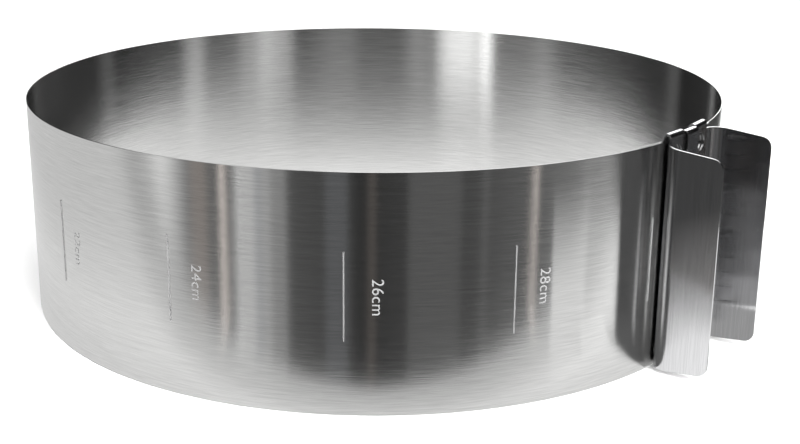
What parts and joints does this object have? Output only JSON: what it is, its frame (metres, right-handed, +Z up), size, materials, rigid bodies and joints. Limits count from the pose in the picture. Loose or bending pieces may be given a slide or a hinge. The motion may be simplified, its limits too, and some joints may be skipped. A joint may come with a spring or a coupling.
{
  "type": "cake ring",
  "caption": "Adjustable round cake ring: a steel strip closed by a pinch clasp that hooks over the rim; pinching its wings frees the strip to slide.",
  "frame": {"origin": "centre of the ring's outer circle, on the surface that the ring stands on", "axes": "+Z up along the ring's axis, +X from the axis to the middle of the clasp, +Y to the right seen from outside the clasp"},
  "size_m": [0.3244, 0.3, 0.0926],
  "materials": {
    "band_steel": "fine grain round the ring, near mirror",
    "clasp_steel": "fine upright grain",
    "pin_steel": "drawn wire",
    "spring_steel": "drawn spring wire"
  },
  "bodies": {
    "ring": {"band": "band_steel", "saddle": "clasp_steel", "hinge_pin": "pin_steel", "upper_spring": "spring_steel", "lower_spring": "spring_steel"},
    "left_lever": {"left_grip": "clasp_steel"},
    "right_lever": {"right_grip": "clasp_steel"}
  },
  "joints": [
    {"name": "left_pinch", "type": "hinge", "parent": "ring", "child": "left_lever", "pos_m": [0.15227, 0, 0.045], "axis": [0, 0, 1], "range_deg": [0, 2], "stiffness_Nm_per_rad": 0.5, "springref_deg": -1.72},
    {"name": "right_pinch", "type": "hinge", "parent": "ring", "child": "right_lever", "pos_m": [0.15227, 0, 0.045], "axis": [0, 0, -1], "range_deg": [0, 2], "stiffness_Nm_per_rad": 0.5, "springref_deg": -1.72}
  ]
}
